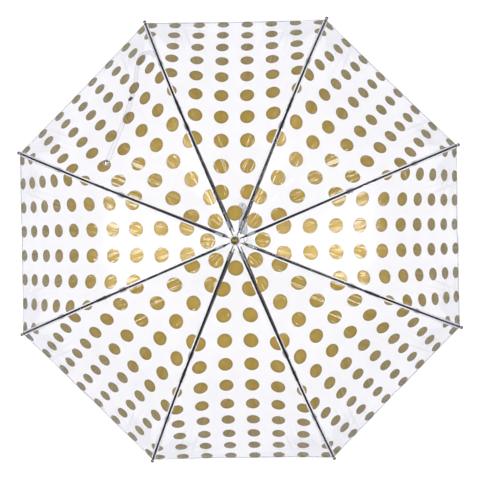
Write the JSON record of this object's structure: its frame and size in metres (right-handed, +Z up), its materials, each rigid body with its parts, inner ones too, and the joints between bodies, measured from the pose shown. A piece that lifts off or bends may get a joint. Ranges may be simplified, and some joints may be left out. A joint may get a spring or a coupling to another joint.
{
  "type": "dome umbrella",
  "caption": "Clear bubble umbrella with gold foil dots: curved ribs under a deep film dome, sliding runner with stretchers, tube shaft, crook handle.",
  "frame": {"origin": "middle of the handle's straight grip, on the shaft's axis", "axes": "+Z up along the shaft to the ferrule; +Y is the side the crook turns to; ribs stand at 22.5 degrees from +X and every 45 degrees from there; drawn open"},
  "size_m": [0.8072, 0.8072, 0.7505],
  "materials": {
    "clear_film": "clear glossy vinyl film printed with gold foil dots",
    "rib_steel": "blackened fluted steel, satin",
    "bracket_steel": "blackened pressed steel, satin",
    "tip_plastic": "pale moulded plastic",
    "shaft_paint": "white enamelled tube, gloss",
    "handle_plastic": "clear moulded acrylic, polished",
    "ferrule_gold": "gold plated, satin",
    "fitting_plastic": "white moulded plastic",
    "washer_plastic": "translucent white plastic",
    "spring_steel": "bright drawn wire and leaf",
    "chrome_trim": "polished plate"
  },
  "bodies": {
    "shaft": {"shaft": "shaft_paint", "crook_handle": "handle_plastic", "handle_collar": "chrome_trim", "ferrule": "ferrule_gold", "crown_ring": "fitting_plastic", "crown_wire": "spring_steel", "canopy_washer": "washer_plastic"},
    "runner": {"runner": "fitting_plastic", "runner_wire": "spring_steel"},
    "top_catch": {"top_catch": "spring_steel"},
    "lower_catch": {"lower_catch": "spring_steel"},
    "rib_1": {"rib_1": "rib_steel", "rib_bracket_1": "bracket_steel", "rib_tip_1": "tip_plastic"},
    "stretcher_1": {"stretcher_1": "rib_steel"},
    "rib_2": {"rib_2": "rib_steel", "rib_bracket_2": "bracket_steel", "rib_tip_2": "tip_plastic"},
    "stretcher_2": {"stretcher_2": "rib_steel"},
    "rib_3": {"rib_3": "rib_steel", "rib_bracket_3": "bracket_steel", "rib_tip_3": "tip_plastic"},
    "stretcher_3": {"stretcher_3": "rib_steel"},
    "rib_4": {"rib_4": "rib_steel", "rib_bracket_4": "bracket_steel", "rib_tip_4": "tip_plastic"},
    "stretcher_4": {"stretcher_4": "rib_steel"},
    "rib_5": {"rib_5": "rib_steel", "rib_bracket_5": "bracket_steel", "rib_tip_5": "tip_plastic"},
    "stretcher_5": {"stretcher_5": "rib_steel"},
    "rib_6": {"rib_6": "rib_steel", "rib_bracket_6": "bracket_steel", "rib_tip_6": "tip_plastic"},
    "stretcher_6": {"stretcher_6": "rib_steel"},
    "rib_7": {"rib_7": "rib_steel", "rib_bracket_7": "bracket_steel", "rib_tip_7": "tip_plastic"},
    "stretcher_7": {"stretcher_7": "rib_steel"},
    "rib_8": {"rib_8": "rib_steel", "rib_bracket_8": "bracket_steel", "rib_tip_8": "tip_plastic"},
    "stretcher_8": {"stretcher_8": "rib_steel"},
    "panel_left_1": {"panel_left_1": "clear_film"},
    "panel_right_1": {"panel_right_1": "clear_film"},
    "panel_left_2": {"panel_left_2": "clear_film"},
    "panel_right_2": {"panel_right_2": "clear_film"},
    "panel_left_3": {"panel_left_3": "clear_film", "tie_strap": "clear_film"},
    "panel_right_3": {"panel_right_3": "clear_film"},
    "panel_left_4": {"panel_left_4": "clear_film"},
    "panel_right_4": {"panel_right_4": "clear_film"},
    "panel_left_5": {"panel_left_5": "clear_film"},
    "panel_right_5": {"panel_right_5": "clear_film"},
    "panel_left_6": {"panel_left_6": "clear_film"},
    "panel_right_6": {"panel_right_6": "clear_film"},
    "panel_left_7": {"panel_left_7": "clear_film"},
    "panel_right_7": {"panel_right_7": "clear_film"},
    "panel_left_8": {"panel_left_8": "clear_film"},
    "panel_right_8": {"panel_right_8": "clear_film"}
  },
  "joints": [
    {"name": "runner_slide", "type": "slide", "parent": "shaft", "child": "runner", "axis": [0, 0, -1], "range_m": [0, 0.2867]},
    {"name": "top_catch_press", "type": "hinge", "parent": "shaft", "child": "top_catch", "pos_m": [0, -0.0012, 0.33479], "axis": [-1, 0, 0], "range_deg": [0, 4], "stiffness_Nm_per_rad": 1.5},
    {"name": "lower_catch_press", "type": "hinge", "parent": "shaft", "child": "lower_catch", "pos_m": [0, -0.0012, 0.07598], "axis": [-1, 0, 0], "range_deg": [0, 4], "stiffness_Nm_per_rad": 1.5},
    {"name": "rib_1_pivot", "type": "hinge", "parent": "shaft", "child": "rib_1", "pos_m": [0.00924, 0.00383, 0.60585], "axis": [-0.3827, 0.9239, 0], "range_deg": [0, 51]},
    {"name": "stretcher_1_pivot", "type": "hinge", "parent": "rib_1", "child": "stretcher_1", "pos_m": [0.22257, 0.09219, 0.50847], "axis": [-0.3827, 0.9239, 0], "range_deg": [-102, 0]},
    {"name": "rib_2_pivot", "type": "hinge", "parent": "shaft", "child": "rib_2", "pos_m": [0.00383, 0.00924, 0.60585], "axis": [-0.9239, 0.3827, 0], "range_deg": [0, 51]},
    {"name": "stretcher_2_pivot", "type": "hinge", "parent": "rib_2", "child": "stretcher_2", "pos_m": [0.09219, 0.22257, 0.50847], "axis": [-0.9239, 0.3827, 0], "range_deg": [-102, 0]},
    {"name": "rib_3_pivot", "type": "hinge", "parent": "shaft", "child": "rib_3", "pos_m": [-0.00383, 0.00924, 0.60585], "axis": [-0.9239, -0.3827, 0], "range_deg": [0, 51]},
    {"name": "stretcher_3_pivot", "type": "hinge", "parent": "rib_3", "child": "stretcher_3", "pos_m": [-0.09219, 0.22257, 0.50847], "axis": [-0.9239, -0.3827, 0], "range_deg": [-102, 0]},
    {"name": "rib_4_pivot", "type": "hinge", "parent": "shaft", "child": "rib_4", "pos_m": [-0.00924, 0.00383, 0.60585], "axis": [-0.3827, -0.9239, 0], "range_deg": [0, 51]},
    {"name": "stretcher_4_pivot", "type": "hinge", "parent": "rib_4", "child": "stretcher_4", "pos_m": [-0.22257, 0.09219, 0.50847], "axis": [-0.3827, -0.9239, 0], "range_deg": [-102, 0]},
    {"name": "rib_5_pivot", "type": "hinge", "parent": "shaft", "child": "rib_5", "pos_m": [-0.00924, -0.00383, 0.60585], "axis": [0.3827, -0.9239, 0], "range_deg": [0, 51]},
    {"name": "stretcher_5_pivot", "type": "hinge", "parent": "rib_5", "child": "stretcher_5", "pos_m": [-0.22257, -0.09219, 0.50847], "axis": [0.3827, -0.9239, 0], "range_deg": [-102, 0]},
    {"name": "rib_6_pivot", "type": "hinge", "parent": "shaft", "child": "rib_6", "pos_m": [-0.00383, -0.00924, 0.60585], "axis": [0.9239, -0.3827, 0], "range_deg": [0, 51]},
    {"name": "stretcher_6_pivot", "type": "hinge", "parent": "rib_6", "child": "stretcher_6", "pos_m": [-0.09219, -0.22257, 0.50847], "axis": [0.9239, -0.3827, 0], "range_deg": [-102, 0]},
    {"name": "rib_7_pivot", "type": "hinge", "parent": "shaft", "child": "rib_7", "pos_m": [0.00383, -0.00924, 0.60585], "axis": [0.9239, 0.3827, 0], "range_deg": [0, 51]},
    {"name": "stretcher_7_pivot", "type": "hinge", "parent": "rib_7", "child": "stretcher_7", "pos_m": [0.09219, -0.22257, 0.50847], "axis": [0.9239, 0.3827, 0], "range_deg": [-102, 0]},
    {"name": "rib_8_pivot", "type": "hinge", "parent": "shaft", "child": "rib_8", "pos_m": [0.00924, -0.00383, 0.60585], "axis": [0.3827, 0.9239, 0], "range_deg": [0, 51]},
    {"name": "stretcher_8_pivot", "type": "hinge", "parent": "rib_8", "child": "stretcher_8", "pos_m": [0.22257, -0.09219, 0.50847], "axis": [0.3827, 0.9239, 0], "range_deg": [-102, 0]},
    {"name": "panel_left_1_fold", "type": "hinge", "parent": "rib_1", "child": "panel_left_1", "pos_m": [0.00624, 0.00712, 0.60512], "axis": [-0.0397, -0.9797, -0.1963], "range_deg": [0, 25.48], "deforming": ["panel_left_1"]},
    {"name": "panel_right_1_fold", "type": "hinge", "parent": "rib_2", "child": "panel_right_1", "pos_m": [0.00712, 0.00624, 0.60512], "axis": [0.9797, 0.0397, 0.1963], "range_deg": [0, 25.48], "deforming": ["panel_right_1"]},
    {"name": "panel_left_2_fold", "type": "hinge", "parent": "rib_2", "child": "panel_left_2", "pos_m": [-0.00062, 0.00945, 0.60512], "axis": [0.6647, -0.7208, -0.1963], "range_deg": [0, 25.48], "deforming": ["panel_left_2"]},
    {"name": "panel_right_2_fold", "type": "hinge", "parent": "rib_3", "child": "panel_right_2", "pos_m": [0.00062, 0.00945, 0.60512], "axis": [0.6647, 0.7208, 0.1963], "range_deg": [0, 25.48], "deforming": ["panel_right_2"]},
    {"name": "panel_left_3_fold", "type": "hinge", "parent": "rib_3", "child": "panel_left_3", "pos_m": [-0.00712, 0.00624, 0.60512], "axis": [0.9797, -0.0397, -0.1963], "range_deg": [0, 25.48], "deforming": ["panel_left_3", "tie_strap"]},
    {"name": "panel_right_3_fold", "type": "hinge", "parent": "rib_4", "child": "panel_right_3", "pos_m": [-0.00624, 0.00712, 0.60512], "axis": [-0.0397, 0.9797, 0.1963], "range_deg": [0, 25.48], "deforming": ["panel_right_3"]},
    {"name": "panel_left_4_fold", "type": "hinge", "parent": "rib_4", "child": "panel_left_4", "pos_m": [-0.00945, -0.00062, 0.60512], "axis": [0.7208, 0.6647, -0.1963], "range_deg": [0, 25.48], "deforming": ["panel_left_4"]},
    {"name": "panel_right_4_fold", "type": "hinge", "parent": "rib_5", "child": "panel_right_4", "pos_m": [-0.00945, 0.00062, 0.60512], "axis": [-0.7208, 0.6647, 0.1963], "range_deg": [0, 25.48], "deforming": ["panel_right_4"]},
    {"name": "panel_left_5_fold", "type": "hinge", "parent": "rib_5", "child": "panel_left_5", "pos_m": [-0.00624, -0.00712, 0.60512], "axis": [0.0397, 0.9797, -0.1963], "range_deg": [0, 25.48], "deforming": ["panel_left_5"]},
    {"name": "panel_right_5_fold", "type": "hinge", "parent": "rib_6", "child": "panel_right_5", "pos_m": [-0.00712, -0.00624, 0.60512], "axis": [-0.9797, -0.0397, 0.1963], "range_deg": [0, 25.48], "deforming": ["panel_right_5"]},
    {"name": "panel_left_6_fold", "type": "hinge", "parent": "rib_6", "child": "panel_left_6", "pos_m": [0.00062, -0.00945, 0.60512], "axis": [-0.6647, 0.7208, -0.1963], "range_deg": [0, 25.48], "deforming": ["panel_left_6"]},
    {"name": "panel_right_6_fold", "type": "hinge", "parent": "rib_7", "child": "panel_right_6", "pos_m": [-0.00062, -0.00945, 0.60512], "axis": [-0.6647, -0.7208, 0.1963], "range_deg": [0, 25.48], "deforming": ["panel_right_6"]},
    {"name": "panel_left_7_fold", "type": "hinge", "parent": "rib_7", "child": "panel_left_7", "pos_m": [0.00712, -0.00624, 0.60512], "axis": [-0.9797, 0.0397, -0.1963], "range_deg": [0, 25.48], "deforming": ["panel_left_7"]},
    {"name": "panel_right_7_fold", "type": "hinge", "parent": "rib_8", "child": "panel_right_7", "pos_m": [0.00624, -0.00712, 0.60512], "axis": [0.0397, -0.9797, 0.1963], "range_deg": [0, 25.48], "deforming": ["panel_right_7"]},
    {"name": "panel_left_8_fold", "type": "hinge", "parent": "rib_8", "child": "panel_left_8", "pos_m": [0.00945, 0.00062, 0.60512], "axis": [-0.7208, -0.6647, -0.1963], "range_deg": [0, 25.48], "deforming": ["panel_left_8"]},
    {"name": "panel_right_8_fold", "type": "hinge", "parent": "rib_1", "child": "panel_right_8", "pos_m": [0.00945, -0.00062, 0.60512], "axis": [0.7208, -0.6647, 0.1963], "range_deg": [0, 25.48], "deforming": ["panel_right_8"]}
  ],
  "couplings": [
    {"joint": "rib_1_pivot", "follows": "runner_slide", "rad_per_m": 3.1047},
    {"joint": "stretcher_1_pivot", "follows": "runner_slide", "rad_per_m": -6.2093},
    {"joint": "rib_2_pivot", "follows": "runner_slide", "rad_per_m": 3.1047},
    {"joint": "stretcher_2_pivot", "follows": "runner_slide", "rad_per_m": -6.2093},
    {"joint": "rib_3_pivot", "follows": "runner_slide", "rad_per_m": 3.1047},
    {"joint": "stretcher_3_pivot", "follows": "runner_slide", "rad_per_m": -6.2093},
    {"joint": "rib_4_pivot", "follows": "runner_slide", "rad_per_m": 3.1047},
    {"joint": "stretcher_4_pivot", "follows": "runner_slide", "rad_per_m": -6.2093},
    {"joint": "rib_5_pivot", "follows": "runner_slide", "rad_per_m": 3.1047},
    {"joint": "stretcher_5_pivot", "follows": "runner_slide", "rad_per_m": -6.2093},
    {"joint": "rib_6_pivot", "follows": "runner_slide", "rad_per_m": 3.1047},
    {"joint": "stretcher_6_pivot", "follows": "runner_slide", "rad_per_m": -6.2093},
    {"joint": "rib_7_pivot", "follows": "runner_slide", "rad_per_m": 3.1047},
    {"joint": "stretcher_7_pivot", "follows": "runner_slide", "rad_per_m": -6.2093},
    {"joint": "rib_8_pivot", "follows": "runner_slide", "rad_per_m": 3.1047},
    {"joint": "stretcher_8_pivot", "follows": "runner_slide", "rad_per_m": -6.2093},
    {"joint": "panel_left_1_fold", "follows": "runner_slide", "rad_per_m": 1.551},
    {"joint": "panel_right_1_fold", "follows": "runner_slide", "rad_per_m": 1.551},
    {"joint": "panel_left_2_fold", "follows": "runner_slide", "rad_per_m": 1.551},
    {"joint": "panel_right_2_fold", "follows": "runner_slide", "rad_per_m": 1.551},
    {"joint": "panel_left_3_fold", "follows": "runner_slide", "rad_per_m": 1.551},
    {"joint": "panel_right_3_fold", "follows": "runner_slide", "rad_per_m": 1.551},
    {"joint": "panel_left_4_fold", "follows": "runner_slide", "rad_per_m": 1.551},
    {"joint": "panel_right_4_fold", "follows": "runner_slide", "rad_per_m": 1.551},
    {"joint": "panel_left_5_fold", "follows": "runner_slide", "rad_per_m": 1.551},
    {"joint": "panel_right_5_fold", "follows": "runner_slide", "rad_per_m": 1.551},
    {"joint": "panel_left_6_fold", "follows": "runner_slide", "rad_per_m": 1.551},
    {"joint": "panel_right_6_fold", "follows": "runner_slide", "rad_per_m": 1.551},
    {"joint": "panel_left_7_fold", "follows": "runner_slide", "rad_per_m": 1.551},
    {"joint": "panel_right_7_fold", "follows": "runner_slide", "rad_per_m": 1.551},
    {"joint": "panel_left_8_fold", "follows": "runner_slide", "rad_per_m": 1.551},
    {"joint": "panel_right_8_fold", "follows": "runner_slide", "rad_per_m": 1.551}
  ]
}
